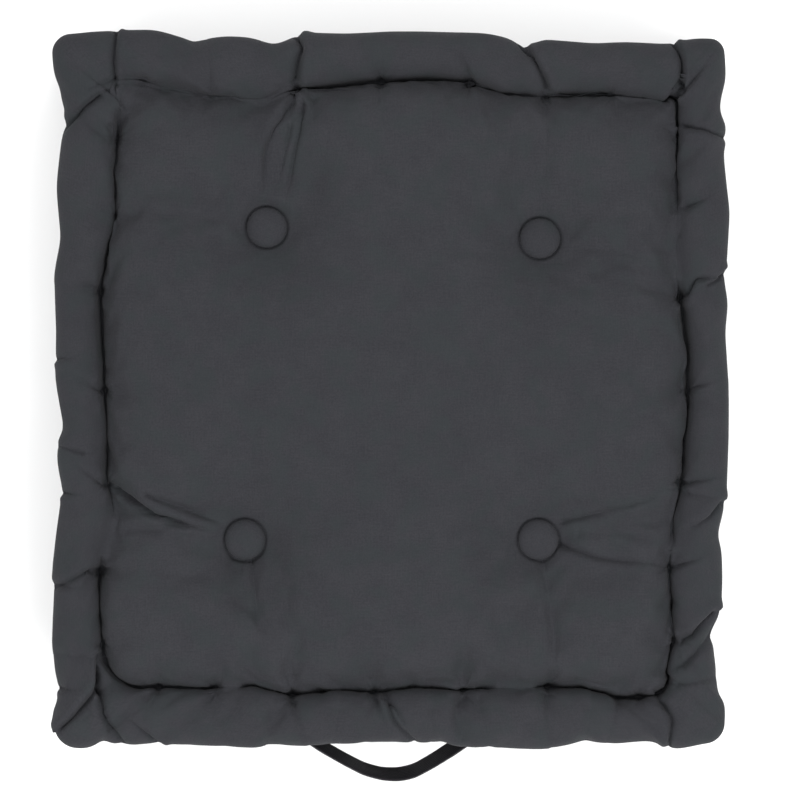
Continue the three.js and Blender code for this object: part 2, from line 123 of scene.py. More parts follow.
# How deep the groove lies below the roll's top, at places along each side. Where it's shallow the canvas
# runs on from the panel to the roll.
GROOVE_DEPTH = {
    "right": [(190, 24), (165, 24), (158, 17), (122, 16), (112, 9), (70, 9), (61, 26), (50, 23), (0, 24),
        (-56, 22), (-70, 15), (-92, 14), (-104, 7), (-113, 23), (-140, 24), (-162, 25), (-190, 25)],
    "back": [(-196, 4), (-176, 5), (-162, 12), (-120, 14), (-100, 12), (-68, 11), (-57, 24), (-7, 24),
        (50, 24), (66, 21), (84, 17), (96, 13), (104, 23), (138, 22), (150, 14), (176, 12), (184, 24)],
    "left": [(196, 4), (180, 4), (170, 17), (160, 22), (116, 21), (75, 22), (63, 25), (0, 24), (-58, 22),
        (-68, 16), (-84, 8), (-108, 7), (-117, 25), (-150, 24), (-175, 26), (-196, 22)],
    "front": [(-186, 22), (-160, 26), (-116, 26), (-108, 8), (-98, 8), (-90, 22), (-64, 26), (-12, 26),
        (46, 26), (58, 20), (68, 9), (92, 8), (100, 26), (114, 22), (130, 24), (150, 26), (176, 27)],
}
STITCHES = {
    "right": [164, 116, 59, -2, -61, -117, -162],
    "back": [-160, -116, -61, -6, 52, 98, 142],
    "left": [161, 112, 63, -1, -61, -119, -165],
    "front": [-150, -112, -64, -12, 46, 101, 160],
}
# The lower roll is sewn like the upper one with the cushion turned over, so it is its mirror image.
TURNED_OVER = {"right": "left", "left": "right", "back": "back", "front": "front"}
TURNED_CORNERS = (1, 0, 3, 2)


class Socket:
    """A shader value that can be worked with like a number."""

    def __init__(self, tree, source):
        self.tree = tree
        self.source = source

    def node(self, kind, inputs=None, output=0, **settings):
        """A node in the same tree. Inputs are given by name or number, as sockets or as plain values."""
        made = self.tree.nodes.new(kind)
        for key, value in settings.items():
            setattr(made, key, value)
        for key, value in (inputs or {}).items():
            if isinstance(value, Socket):
                self.tree.links.new(value.source, made.inputs[key])
            else:
                made.inputs[key].default_value = value
        return Socket(self.tree, made.outputs[output])

    def math(self, operation, *others):
        return self.node("ShaderNodeMath", dict(enumerate((self, *others))), operation=operation)

    def __add__(self, other):
        return self.math("ADD", other)

    def __sub__(self, other):
        return self.math("SUBTRACT", other)

    def __rsub__(self, other):
        return self.math("MULTIPLY_ADD", -1.0, other)

    def __mul__(self, other):
        return self.math("MULTIPLY", other)

    __radd__ = __add__
    __rmul__ = __mul__

    def __truediv__(self, other):
        return self.math("DIVIDE", other)

    def split(self):
        return [self.node("ShaderNodeSeparateXYZ", {0: self}, output=k) for k in (0, 1)]

    def mix(self, first, second):
        """The colour that lies this share of the way from the first to the second."""
        return self.node("ShaderNodeMix", {0: self, 6: first, 7: second}, output=2, data_type="RGBA")

    def shaped(self, low, high, to_low=0.0, to_high=1.0):
        values = {"Value": self, "From Min": low, "From Max": high, "To Min": to_low, "To Max": to_high}
        return self.node("ShaderNodeMapRange", values, interpolation_type="SMOOTHSTEP")

    def noise(self, scale, detail=2.0, stretch=(1, 1, 1)):
        """Noise over this vector, 0 to 1 about a half, with cells of 1 / scale metres."""
        stretched = self.node("ShaderNodeMapping", {"Vector": self, "Scale": stretch})
        return self.node("ShaderNodeTexNoise", {"Vector": stretched, "Scale": scale, "Detail": detail})


def new_material(name):
    """A material, its shader, and a socket with the place in the object's own space, in metres."""
    material = bpy.data.materials.new(name)
    material.use_nodes = True
    tree = material.node_tree
    coordinates = tree.nodes.new("ShaderNodeTexCoord")
    return material, tree.nodes["Principled BSDF"], Socket(tree, coordinates.outputs["Object"])


def finish_material(shader, colour, roughness, height, distance):
    """Gives a shader its colour, its roughness, and a relief that far deep in metres, from its height."""
    tree = colour.tree
    bump = height.node("ShaderNodeBump", {"Height": height, "Distance": distance, "Strength": 1.0})
    tree.links.new(colour.source, shader.inputs["Base Color"])
    tree.links.new(roughness.source, shader.inputs["Roughness"])
    tree.links.new(bump.source, shader.inputs["Normal"])


def plain_weave(u, v, pitch):
    """Height, 0 to 1, of a plain weave at a place given along each thread, in metres."""
    u = u / pitch
    v = v / pitch
    is_over = (u.math("FLOOR") + v.math("FLOOR")).math("FLOORED_MODULO", 2.0)
    round_u = (u * math.pi).math("SINE").math("ABSOLUTE")
    round_v = (v * math.pi).math("SINE").math("ABSOLUTE")
    return is_over * round_u * (0.45 + 0.55 * round_v) + (1.0 - is_over) * round_v * (0.45 + 0.55 * round_u)


def canvas_material():
    """Charcoal canvas, 18 threads to the centimetre, dyed a little unevenly, with slubs both ways and painted
    shade in its weave.
    """
    material, shader, place = new_material("cover_cotton")
    cut = place.node("ShaderNodeUVMap", uv_map="cut")
    weave = plain_weave(*cut.split(), 0.00055)
    slubs = cut.noise(1.0, stretch=(90, 1400, 1)) * 0.5 + cut.noise(1.0, stretch=(1400, 90, 1)) * 0.5
    grain = cut.noise(850.0, detail=3.0)
    dye = place.noise(55.0, detail=8.0)
    wash = place.noise(8.0, detail=3.0)
    tint = place.noise(60.0, detail=8.0)
    lightness = (dye.shaped(0.3, 0.7) * 0.22 + wash.shaped(0.3, 0.7) * 0.1 + slubs.shaped(0.38, 0.62) * 0.28
                 + grain.shaped(0.35, 0.65) * 0.4)
    colour = lightness.mix((0.0208, 0.0211, 0.0250, 1), (0.0319, 0.0323, 0.0366, 1))
    colour = (tint.shaped(0.45, 0.65) * 0.45).mix(colour, (0.0224, 0.0284, 0.0296, 1))
    # Painted shade: the colour darkens in the hollows of the weave, between the threads.
    colour = ((1.0 - weave).math("POWER", 2.0) * 0.6).mix(colour, (0.0155, 0.0160, 0.0185, 1))
    slack = place.noise(95.0, detail=3.0)
    relief = weave * 0.08 + slubs * 0.04 + slack * 0.88
    finish_material(shader, colour, lightness.shaped(0, 1, 0.98, 0.88), relief, 0.001)
    shader.inputs["Sheen Weight"].default_value = 0.03
    shader.inputs["Specular IOR Level"].default_value = 0.12
    return material


def set_material(mesh, material):
    mesh.materials.clear()
    mesh.materials.append(material)


def smooth(mesh):
    mesh.polygons.foreach_set("use_smooth", [True] * len(mesh.polygons))


def new_mesh(name, points, faces, cut=None):
    """A mesh from places in mm, with each corner's place on the flat cloth, as it was cut."""
    mesh = bpy.data.meshes.new(name)
    mesh.from_pydata((np.array(points) * MM).tolist(), [], faces)
    if cut is not None:
        mesh.uv_layers.new(name="cut").data.foreach_set("uv", (np.array(cut) * MM).ravel())
    return mesh


def read(mesh, name):
    values = np.empty(len(mesh.vertices) * 3)
    mesh.vertices.foreach_get(name, values)
    return values.reshape(-1, 3)


def move_to(mesh, points):
    mesh.vertices.foreach_set("co", (points * MM).ravel())
    mesh.update()


def with_modifiers(piece):
    return bpy.data.meshes.new_from_object(piece.evaluated_get(bpy.context.evaluated_depsgraph_get()))


def new_piece(name, mesh, material):
    piece = new_object(name, mesh)
    mesh.name = name
    set_material(mesh, material)
    smooth(mesh)
    return piece


def turned(side, t):
    """The same place along a side for a cushion seen from below."""
    return t if side in ("right", "left") else -t


def turned_over(tables):
    return {side: [(turned(side, t), d) for t, d in tables[TURNED_OVER[side]]] for side in SIDES}


def stand(tables, side, t):
    """How far a side's line stands out at a place along it."""
    return np.interp(t, *zip(*sorted(tables[side])))


def cover_line(half, radii, tables):
    """One closed line round the plan, anticlockwise from the front end of the right side."""
    points = []
    names = list(SIDES)
    for number, side in enumerate(names):
        out = np.array(SIDES[side], float)
        along = np.array([-out[1], out[0]])
        sign = along.sum()
        radius = radii[number]
        reach, length = abs(out @ half), abs(along @ half) - radius
        following = names[(number + 1) % 4]
        for t in np.linspace(radii[number - 1] - abs(along @ half), length, SIDE_COLUMNS, endpoint=False):
            points.append(out * (reach + stand(tables, side, sign * t)) + along * t)
        end = stand(tables, side, sign * length)
        next_start = stand(tables, following, out.sum() * (reach - radius))
        centre = out * (reach - radius) + along * length
        for share in np.linspace(0, 1, CORNER_COLUMNS, endpoint=False):
            angle = share * math.pi / 2
            swell = end * (1 - share) + next_start * share
            points.append(centre + (radius + swell) * (out * math.cos(angle) + along * math.sin(angle)))
    points = np.array(points)
    return (np.roll(points, 1, axis=0) + 2 * points + np.roll(points, -1, axis=0)) / 4


def stitch_places(tables, stitches):
    """Each stitch's place on the groove, and the way out over the roll from it."""
    places, outwards = [], []
    for side, out in SIDES.items():
        out = np.array(out, float)
        for t in stitches[side]:
            places.append(out * (abs(out @ GROOVE_HALF) + stand(tables, side, t)) + abs(out[::-1]) * t)
            outwards.append(out)
    return np.array(places), np.array(outwards)


def bell(distance, width):
    return np.exp(-((distance / width) ** 2))


def run_along(line):
    """How far each point of a line is from its start, along it."""
    return np.concatenate([[0], np.cumsum(np.linalg.norm(np.diff(line, axis=0), axis=1))])


def nearest(points, targets):
    """Distance from each point to the nearest target."""
    return np.linalg.norm(points[:, None, :] - targets[None, :, :], axis=2).min(axis=1)


lines = {}
for level in ("upper", "lower"):
    side_tables, groove_tables, stitches = OUTLINE, GROOVE, STITCHES
    outer_corners, inner_corners = OUTLINE_CORNERS, GROOVE_CORNERS
    if level == "lower":
        side_tables, groove_tables = turned_over(OUTLINE), turned_over(GROOVE)
        stitches = {side: [turned(side, t) for t in STITCHES[TURNED_OVER[side]]] for side in SIDES}
        outer_corners = [OUTLINE_CORNERS[k] for k in TURNED_CORNERS]
        inner_corners = [GROOVE_CORNERS[k] for k in TURNED_CORNERS]
    outer = cover_line(OUTLINE_HALF, outer_corners, side_tables)
    inner = cover_line(GROOVE_HALF, inner_corners, groove_tables)
    lines[level] = [outer, inner, *stitch_places(groove_tables, stitches)]
reach = [np.abs(lines[level][0] / OUTLINE_HALF).max(axis=1) for level in ("upper", "lower")]
lines["lower"][0] *= np.minimum(1, (reach[0] - UNDER_EDGE / OUTLINE_HALF[0]) / reach[1])[:, None]

# The surface is one closed net of quads: a ring of columns from groove to groove over the rolls and the
# border, and a patch of rows and columns across each panel. "row" and "column" number the ring's points.
ROLL_ANGLES = [200, 186, 170, 153, 136, 119, 102, 85, 68, 51, 34, 17, 0, -18, -38, -60, -84]
BORDER_HEIGHTS = [60, 54.5, 48.5, 42.5, 37]
PINCH = 9.0  # how far along the roll a stitch draws it in
rows = []
waists = {}
for level, sign, centre_z, rise in (("upper", 1, UPPER_Z, UPPER_RISE), ("lower", -1, LOWER_Z, LOWER_RISE)):
    outer, inner, places, _ = lines[level]
    middle, half_width = (outer + inner) / 2, (outer - inner) / 2
    pinch = bell(nearest(inner, places), PINCH)
    level_rows = []
    for angle in ROLL_ANGLES:
        cosine, sine = math.cos(math.radians(angle)), math.sin(math.radians(angle))
        height = (rise - 1.6 * pinch * (level == "upper")) * sine - 3.0 * pinch * (angle > 178)
        drawn_in = 0.14 * pinch * (angle < -50)
        xy = middle + half_width * (cosine - drawn_in[:, None])
        level_rows.append(np.column_stack([xy, centre_z + sign * height]))
    waists[level] = middle + 0.04 * half_width
    if level == "upper":
        rows += level_rows
    else:
        for z in BORDER_HEIGHTS:
            share = (z - LOWER_Z) / (UPPER_Z - LOWER_Z)
            waist = share * waists["upper"] + (1 - share) * waists["lower"]
            rows.append(np.column_stack([waist, np.full(len(waist), z)]))
        rows += level_rows[::-1]
ring = np.array(rows)
n_rows, n_columns = ring.shape[:2]
side_run = SIDE_COLUMNS + CORNER_COLUMNS
corner_columns = [(k * side_run - CORNER_COLUMNS // 2) % n_columns for k in range(4)]


def depth_along(xy):
    """How deep the upper groove is at the place along it that's beside each point."""
    sides_met = (xy / GROOVE_HALF) @ np.array(list(SIDES.values()), float).T
    depth = np.zeros(len(xy))
    for number, (side, out) in enumerate(SIDES.items()):
        on_side = sides_met.argmax(axis=1) == number
        depth[on_side] = np.interp(xy[on_side] @ np.abs(out[::-1]), *zip(*sorted(GROOVE_DEPTH[side])))
    return depth


TUFT_SPREAD = 13.0  # how far a tuft's dip runs out round its button
EDGE_STAND = -4  # of a panel's face from the middle of its roll, at the groove


def panel_height(xy, level):
    """How far a panel's face stands out from the middle of its roll, in mm."""
    _, inner, places, outwards = lines[level]
    edge = nearest(xy, inner)
    crown, dip, pull_depth = (17.0, 13.2, 3.0) if level == "upper" else (14.8, 10.8, 2.0)
    # The panel rises steeply from a deep groove and gently from a shallow one.
    mean_depth = np.mean([depth_along(xy + shift) for shift in range(-24, 25, 6)], axis=0)
    slope = 7 + 5 * np.clip((19 - mean_depth) / 9, 0, 1)
    height = EDGE_STAND + (crown - EDGE_STAND) * (1 - np.exp(-edge / slope)) ** 0.85
    for stitch, out in zip(places, outwards):
        depth = np.clip((stitch - xy) @ out, 0, None)
        across = (xy - stitch) @ out[::-1]
        height -= pull_depth * bell(across, 5 + 0.3 * depth) * np.exp(-depth / 20)
    for centre in TUFTS:
        away = np.clip(np.linalg.norm(xy - centre, axis=1) - TUFT_SEAT, 0, None)
        height -= dip * np.exp(-((away / TUFT_SPREAD) ** 1.1))
    return height


vertices = list(ring.reshape(-1, 3))
groove_gaps = []  # how far each point lies from its groove in plan
BEYOND = 99.0  # stands for any distance beyond the roll's top
for r, angle in enumerate([*ROLL_ANGLES, *[0] * len(BORDER_HEIGHTS), *ROLL_ANGLES[::-1]]):
    outer, inner = lines["upper" if r < n_rows / 2 else "lower"][:2]
    half_width = np.linalg.norm(outer - inner, axis=1) / 2
    near_groove = half_width * (1 + math.cos(math.radians(angle)))
    groove_gaps += list(near_groove if angle > 100 else half_width * 0 + BEYOND)
row_numbers = list(np.repeat(np.arange(n_rows), n_columns))
column_numbers = list(np.tile(np.arange(n_columns), n_rows))
face_ids, cuts = [], []
girth = run_along(lines["upper"][0])
girth = np.append(girth, girth[-1] + girth[1])
drop = run_along(ring[:, 10])
for r in range(n_rows - 1):
    for c in range(n_columns):
        for i, j in ((r, c), (r + 1, c), (r + 1, c + 1), (r, c + 1)):
            face_ids.append(i * n_columns + j % n_columns)
            cuts.append((girth[j], drop[i]))
for level, row in (("upper", 0), ("lower", n_rows - 1)):
    edge_ids = [[row * n_columns + (corner + i) % n_columns for i in range(side_run + 1)]
                for corner in corner_columns]
    ids = np.zeros((side_run + 1, side_run + 1), int)
    ids[-1, :] = edge_ids[0]
    ids[:, -1] = edge_ids[1][::-1]
    ids[0, :] = edge_ids[2][::-1]
    ids[:, 0] = edge_ids[3]
    border = np.array(vertices)
    u = np.linspace(0, 1, side_run + 1)[:, None, None]
    v = np.linspace(0, 1, side_run + 1)[None, :, None]
    left, right = border[ids[0, :]][None], border[ids[-1, :]][None]
    front, back = border[ids[:, 0]][:, None], border[ids[:, -1]][:, None]
    patch = ((1 - u) * left + u * right + (1 - v) * front + v * back
             - (1 - u) * (1 - v) * left[:, :1] - u * (1 - v) * right[:, :1]
             - (1 - u) * v * left[:, -1:] - u * v * right[:, -1:])
    inside = patch[1:-1, 1:-1].reshape(-1, 3)
    stands = panel_height(inside[:, :2], level)
    inside[:, 2] = UPPER_Z + stands if level == "upper" else LOWER_Z - stands
    ids[1:-1, 1:-1] = np.arange(len(inside)).reshape(side_run - 1, -1) + len(vertices)
    vertices += list(inside)
    groove_gaps += list(nearest(inside[:, :2], lines[level][1]))
    row_numbers += [-50] * len(inside)
    column_numbers += [-50] * len(inside)
    flat = np.array(vertices)[:, :2]
    for i in range(side_run):
        for j in range(side_run):
            quad = [ids[i, j], ids[i + 1, j], ids[i + 1, j + 1], ids[i, j + 1]]
            quad = quad if level == "upper" else quad[::-1]
            face_ids += quad
            cuts += [tuple(flat[k]) for k in quad]
vertices = np.array(vertices)
vertices[:, 2] = np.maximum(vertices[:, 2], FLOOR_GAP)

mesh = new_mesh("cushion_cover", vertices, np.reshape(face_ids, (-1, 4)).tolist(), cuts)
for name, values in (("row", row_numbers), ("column", column_numbers), ("groove_gap", groove_gaps)):
    mesh.attributes.new(name, "FLOAT", "POINT").data.foreach_set("value", np.array(values, float))
cover = new_piece("cushion_cover", mesh, canvas_material())


def behind_strap(points, reach, front):
    """Which points are on the front border where the strap lies."""
    return (abs(points[:, 0]) < reach) & (points[:, 1] < front) & (abs(points[:, 2] - STRAP_Z) < 15)


# The canvas swells between the twine's stitches and the tufts, which hold it.
ROLL_SWELL = 2.2  # the furthest that the rolls and the border may move, in mm
PANEL_SWELL = 7.0
held = np.zeros(len(vertices))
for level in ("upper", "lower"):
    _, inner, places, _ = lines[level]
    depth = vertices[:, 2] - UPPER_Z if level == "upper" else LOWER_Z - vertices[:, 2]
    is_deep = (depth < 1) & ((vertices[:, 2] > HALF_WAY) == (level == "upper"))
    held[is_deep & (nearest(vertices[:, :2], inner) < 4)] = 0.6
    held[is_deep & (nearest(vertices[:, :2], places) < 8)] = 1
held[nearest(vertices[:, :2], TUFTS) < 15] = 1
held[vertices[:, 2] < 2.5] = 1
held[behind_strap(vertices, 95, -180)] = 1
group = cover.vertex_groups.new(name="held")
for hold in (0.6, 1.0):
    group.add(np.nonzero(held == hold)[0].tolist(), hold, "REPLACE")
cloth = cover.modifiers.new("cloth", "CLOTH")
settings = cloth.settings
settings.quality = 5
settings.tension_stiffness = 12
settings.compression_stiffness = 12
settings.shear_stiffness = 4
settings.bending_stiffness = 0.03
settings.use_pressure = True
settings.uniform_pressure_force = 4
settings.vertex_group_mass = "held"
settings.shrink_min = -0.05
settings.effector_weights.gravity = 0
cloth.collision_settings.use_collision = False
for step in range(1, 21):
    scene.frame_set(step)
swollen = with_modifiers(cover)
move = read(swollen, "co") / MM - vertices
cover.modifiers.clear()
cover.vertex_groups.clear()
bpy.data.meshes.remove(swollen)
size = np.linalg.norm(move, axis=1, keepdims=True)
limit = np.full((len(vertices), 1), PANEL_SWELL)
limit[: n_rows * n_columns] = ROLL_SWELL
vertices = vertices + move * limit * np.tanh(size / limit) / np.maximum(size, 1e-6)
vertices[:, 2] = np.maximum(vertices[:, 2], FLOOR_GAP)
move_to(mesh, vertices)
subdivide = cover.modifiers.new("subdivide", "SUBSURF")
subdivide.levels = subdivide.render_levels = 1
mesh = with_modifiers(cover)
cover.modifiers.clear()
cover.data = mesh
mesh.name = "cushion_cover"

# Folds that the drawn stitches and the tufts leave in the canvas. Each is a line of points in mm, with how
# deep the crease is at its start, how wide the soft slope beside it, and what share of the depth is left at
# its end, 0.3 if not given. The slope lies to the left of the line, and the canvas laps over it from the
# right.
ROLL_FOLDS = [
    ([(-177, 196), (-178, 214), (-177, 234)], 6.2, 3, 0.7),
    ([(-61, 195), (-60, 212), (-57, 220), (-61, 229)], 7.5, 5, 0.9),
    ([(101, 192), (97, 204), (84, 225)], 6.2, 4, 0.9),
    ([(186, 190), (188, 208), (186, 218), (180, 228)], 7.5, 3, 0.8),
    ([(188, 191), (203, 210)], 4.4, 4, 0.2), ([(187, 169), (198, 168), (216, 162)], 5, 4, 0.6),
    ([(-158, 199), (-178, 200), (-194, 193)], 3.6, 4),
    ([(-187, 189), (-200, 179), (-216, 166)], 5.6, 4, 0.9), ([(-175, 180), (-177, 163)], 3, 4, 0.8),
    ([(-188, 66), (-210, 68)], 2.8, 5), ([(-186, -1), (-207, 10)], 2.8, 5),
    ([(-198, -41), (-214, -37)], 3, 4, 0.6), ([(-184, -62), (-202, -50)], 3.2, 4),
    ([(-216, -67), (-202, -68)], 4.2, 3, 0.2), ([(-187, -116), (-203, -121), (-219, -129)], 5.2, 5, 0.6),
    ([(-219, -126), (-203, -128)], 2.5, 3), ([(-219, -193), (-203, -194)], 4.2, 3, 0.2),
    ([(-188, -176), (-188, -190), (-196, -203), (-214, -219)], 6.9, 4, 0.8),
    ([(-188, -193), (-186, -208), (-172, -232)], 6.2, 4, 0.6), ([(-188, -171), (-188, -194)], 6, 2.6, 1.0),
    ([(-157, -199), (-160, -214)], 2.2, 9, 0.4), ([(-76, -206), (-80, -226)], 2.2, 9, 0.8),
    ([(-34, -205), (-36, -226)], 2, 9, 0.8), ([(26, -206), (27, -228)], 2, 8, 0.8),
    ([(56, -199), (60, -218)], 2.8, 9, 0.5), ([(128, -205), (126, -227)], 2.2, 9, 0.8),
    ([(-148, -231), (-168, -213)], 4.2, 3, 0.4), ([(189, 60), (195, 70), (205, 71)], 5.5, 4, 0.7),
    ([(218, 76), (211, 70), (204, 67)], 5, 3, 0.6), ([(192, 0), (208, 5)], 3, 4),
    ([(187, -61), (206, -58)], 4, 4, 0.4), ([(187, -66), (212, -70)], 2, 5),
    ([(214, -74), (205, -84), (193, -88)], 6, 5), ([(181, -115), (198, -109)], 3.5, 4),
    ([(209, -145), (196, -157), (185, -162)], 6.8, 5, 0.8), ([(188, -177), (209, -158)], 4.2, 5, 0.6),
    ([(190, 117), (203, 123)], 3.4, 4), ([(-217, 19), (-205, 20)], 3, 3),
    ([(-191, -173), (-215, -171)], 2.2, 6, 0.4), ([(184, -190), (208, -186)], 2.5, 5, 0.4),
    ([(-64, -198), (-57, -222)], 4.2, 6), ([(-116, -196), (-108, -215)], 2, 7),
    ([(-4, -198), (3, -204), (8, -214)], 3.6, 3, 0.4), ([(-2, -201), (2, -214), (15, -228)], 4.2, 4, 0.7),
    ([(-10, -198), (-5, -214)], 3.2, 5), ([(47, -196), (42, -206), (46, -226)], 4, 7, 0.5),
    ([(101, -194), (103, -224)], 3.8, 8, 0.5), ([(146, -200), (140, -226)], 2.2, 6, 0.4),
    ([(172, -199), (181, -211), (179, -232)], 6.2, 4, 0.8), ([(-116, 190), (-118, 222)], 1.8, 6, 0.4),
    ([(-7, 197), (-6, 214)], 2.5, 7), ([(50, 198), (46, 218)], 3.8, 6),
]
PANEL_FOLDS = [
    ([(-60, 190), (-72, 172), (-80, 152), (-81, 118)], 4.6, 6, 0.6),
    ([(-57, 190), (-59, 170), (-64, 142), (-69, 116)], 4.2, 4, 0.5),
    ([(-64, 172), (-73, 132)], 2.1, 3, 0.5), ([(-50, 191), (-50, 168)], 4.6, 8, 0.2),
    ([(100, 190), (99, 150), (98, 118)], 2.4, 10), ([(112, 92), (150, 88), (178, 76)], 1.8, 7),
    ([(-183, -60), (-170, -71), (-152, -83), (-112, -92)], 6.2, 3.4, 0.7),
    ([(-176, -68), (-156, -82), (-130, -88)], 1.6, 9),
    ([(-162, -67), (-140, -74), (-106, -87)], 3.4, 4.5, 0.8), ([(-181, -66), (-178, -84)], 1.8, 4),
    ([(-91, -101), (-84, -162)], 2.8, 5, 0.4), ([(-96, -98), (-100, -160)], 3.6, 13),
    ([(-100, -104), (-113, -146)], 1.8, 7),
    ([(104, -88), (122, -82), (150, -77), (178, -66)], 2.8, 4.5, 0.7),
    ([(103, -98), (134, -109), (182, -113)], 4.2, 5, 0.5), ([(118, -92), (150, -93)], 1.8, 7, 0.2),
    ([(97, -104), (104, -150), (106, -189)], 2.8, 8, 0.7), ([(46, -192), (48, -150)], 3.1, 9, 0.2),
    ([(-12, -190), (-14, -160)], 2.4, 9, 0.2), ([(-64, -188), (-64, -150)], 2.4, 9, 0.2),
    ([(118, 52), (110, 30)], 1.1, 12), ([(-180, 172), (-176, 140)], 2.4, 7, 0.2),
]
SHARPEST = 1.3  # half width of the crease itself, in a fold with the narrowest slope
REACH = 30.0  # beyond this a fold has no effect
LAP = 0.22  # how far the lapping canvas stands up, as a share of the fold's depth


def distance_along(xy, points):
    """For each place: distance to a line, its side (left is positive), and the share of the way along."""
    best = np.full(len(xy), 1e9)
    side = np.zeros(len(xy))
    share = np.zeros(len(xy))
    lengths = np.linalg.norm(np.diff(points, axis=0), axis=1)
    run = 0.0
    for first, second, length in zip(points[:-1], points[1:], lengths):
        along = (second - first) / length
        t = np.clip((xy - first) @ along, 0, length)
        gap = xy - (first + t[:, None] * along)
        distance = np.linalg.norm(gap, axis=1)
        closer = distance < best
        best[closer] = distance[closer]
        side[closer] = (along[0] * gap[:, 1] - along[1] * gap[:, 0])[closer]
        share[closer] = ((run + t) / lengths.sum())[closer]
        run += length
    return best, side, share


def smoothed(line, rounds):
    line = np.array(line, float)
    for _ in range(rounds):
        line[1:-1] = (line[:-2] + 2 * line[1:-1] + line[2:]) / 4
    return line


def curved(points, steps=12):
    """The same line with its bends rounded."""
    places = np.linspace(0, len(points) - 1, steps)
    fine = np.column_stack([np.interp(places, np.arange(len(points)), values) for values in zip(*points)])
    return smoothed(fine, 2)


def lowered_by(xy, points, depth, width, end_share=0.3, reaches_edge=True):
    """How far a fold lowers the canvas at each place."""
    line = curved(points)
    low, high = line.min(axis=0) - REACH, line.max(axis=0) + REACH
    is_near = ((xy > low) & (xy < high)).all(axis=1)
    distance, side, share = distance_along(xy[is_near], line)
    fade = 1 - (1 - end_share) * share
    if not reaches_edge:
        fade *= np.clip(share / 0.08, 0, 1) * np.clip((1 - share) / 0.3, 0, 1)
    half_crease = SHARPEST * max(1.0, (width / 4) ** 1.6)
    crease = 0.5 * np.exp(-((distance / half_crease) ** 1.5))
    slope = 0.5 * np.where(side > 0, np.exp(-distance / width), np.exp(-((distance / half_crease) ** 1.5)))
    lap = np.where(side > 0, 0, LAP * bell(distance - 1.1 * width, 0.8 * width))
    lowered = np.zeros(len(xy))
    lowered[is_near] = depth * fade * (crease + slope - lap)
    return lowered


def upper_and_lower(points, normals):
    """How much each point belongs to the upper face and to the lower one, 0 to 1."""
    return [np.clip(sign * (points[:, 2] - start) / 14, 0, 1) * np.clip(sign * normals[:, 2] * 2 + 0.6, 0, 1)
            for sign, start in ((1, 68), (-1, 30))]


def attribute(mesh, name):
    return np.array([item.value for item in mesh.attributes[name].data])


# Where the groove is shallow, the canvas bridges it on fibre that the twine hasn't caught.
EASE = 1.6  # how softly the bridge meets the groove's sides
points = read(mesh, "co") / MM
bridge_z = UPPER_Z + UPPER_RISE - depth_along(points[:, :2])
bridge_z -= 30 * np.clip((attribute(mesh, "groove_gap") - 8) / 8, 0, 1) ** 2
raised = EASE * np.log1p(np.exp(np.clip((bridge_z - points[:, 2]) / EASE, -30, 30))) * (points[:, 2] > 60)
points[:, 2] += raised
mesh.attributes.new("raised", "FLOAT", "POINT").data.foreach_set("value", raised)
move_to(mesh, points)

# The net is made finer where it creases.
for band in (7.0, 2.6):
    points, normals = read(mesh, "co") / MM, read(mesh, "normal")
    above, below = (share > 0.05 for share in upper_and_lower(points, normals))
    is_fine = np.zeros(len(points), bool)
    mirrored = points[:, :2] * (-1, 1)
    for fold in ROLL_FOLDS + PANEL_FOLDS:
        line = curved(fold[0])
        low, high = line.min(axis=0) - band, line.max(axis=0) + band
        for xy, faces_it in ((points[:, :2], above), (mirrored, below)):
            near = np.nonzero(faces_it & ((xy > low) & (xy < high)).all(axis=1))[0]
            if fold in PANEL_FOLDS and xy is mirrored:
                continue
            near = near[distance_along(xy[near], line)[0] < band]
            is_fine[near] = True
    is_fine |= (above | below) & (attribute(mesh, "groove_gap") < band / 2)
    if band > 5:
        is_fine |= (above | below) & (nearest(points[:, :2], TUFTS) < 20)
        for level, faces_it in (("upper", above), ("lower", below)):
            is_fine |= faces_it & (nearest(points[:, :2], lines[level][2]) < band)
    net = bmesh.new()
    net.from_mesh(mesh)
    net.verts.ensure_lookup_table()
    edges = [edge for edge in net.edges if is_fine[edge.verts[0].index] and is_fine[edge.verts[1].index]]
    bmesh.ops.subdivide_edges(net, edges=edges, cuts=1, use_grid_fill=True)
    net.to_mesh(mesh)
    net.free()

points, normals = read(mesh, "co") / MM, read(mesh, "normal")
over, under = upper_and_lower(points, normals)
row, column, groove_gap = (attribute(mesh, name) for name in ("row", "column", "groove_gap"))
row_step, column_step = 4.4, 4.3  # between the net's rows and columns, in mm
lowered = np.zeros(len(points))
folded = 0.25 + 0.75 * np.clip((groove_gap - 0.5) / 2.5, 0, 1)  # folds stay out of the groove itself
for fold in ROLL_FOLDS:
    lowered += over * folded * lowered_by(points[:, :2], *fold)
    lowered += 0.7 * under * folded * lowered_by(points[:, :2] * (-1, 1), *fold)
for fold in PANEL_FOLDS:
    lowered += over * folded * lowered_by(points[:, :2], *fold, reaches_edge=False)

# Where the twine draws the groove in deepest, it ends in a narrow slot.
SLOT_WIDTH = 1.1
NET_DEPTH = 18.0  # the net's own depth of groove
slot = bell(groove_gap, SLOT_WIDTH)
drawn = np.clip(depth_along(points[:, :2]) - NET_DEPTH, 0, None)
sunk = (over * drawn - under * 2.0) * slot

# The canvas sinks a little round the rim of each button.
RIM_SINK = 1.3
RIM_WIDTH = 0.9
rim = nearest(points[:, :2], TUFTS) - TUFT_SEAT
lowered += (over + under) * RIM_SINK * bell(rim, RIM_WIDTH)

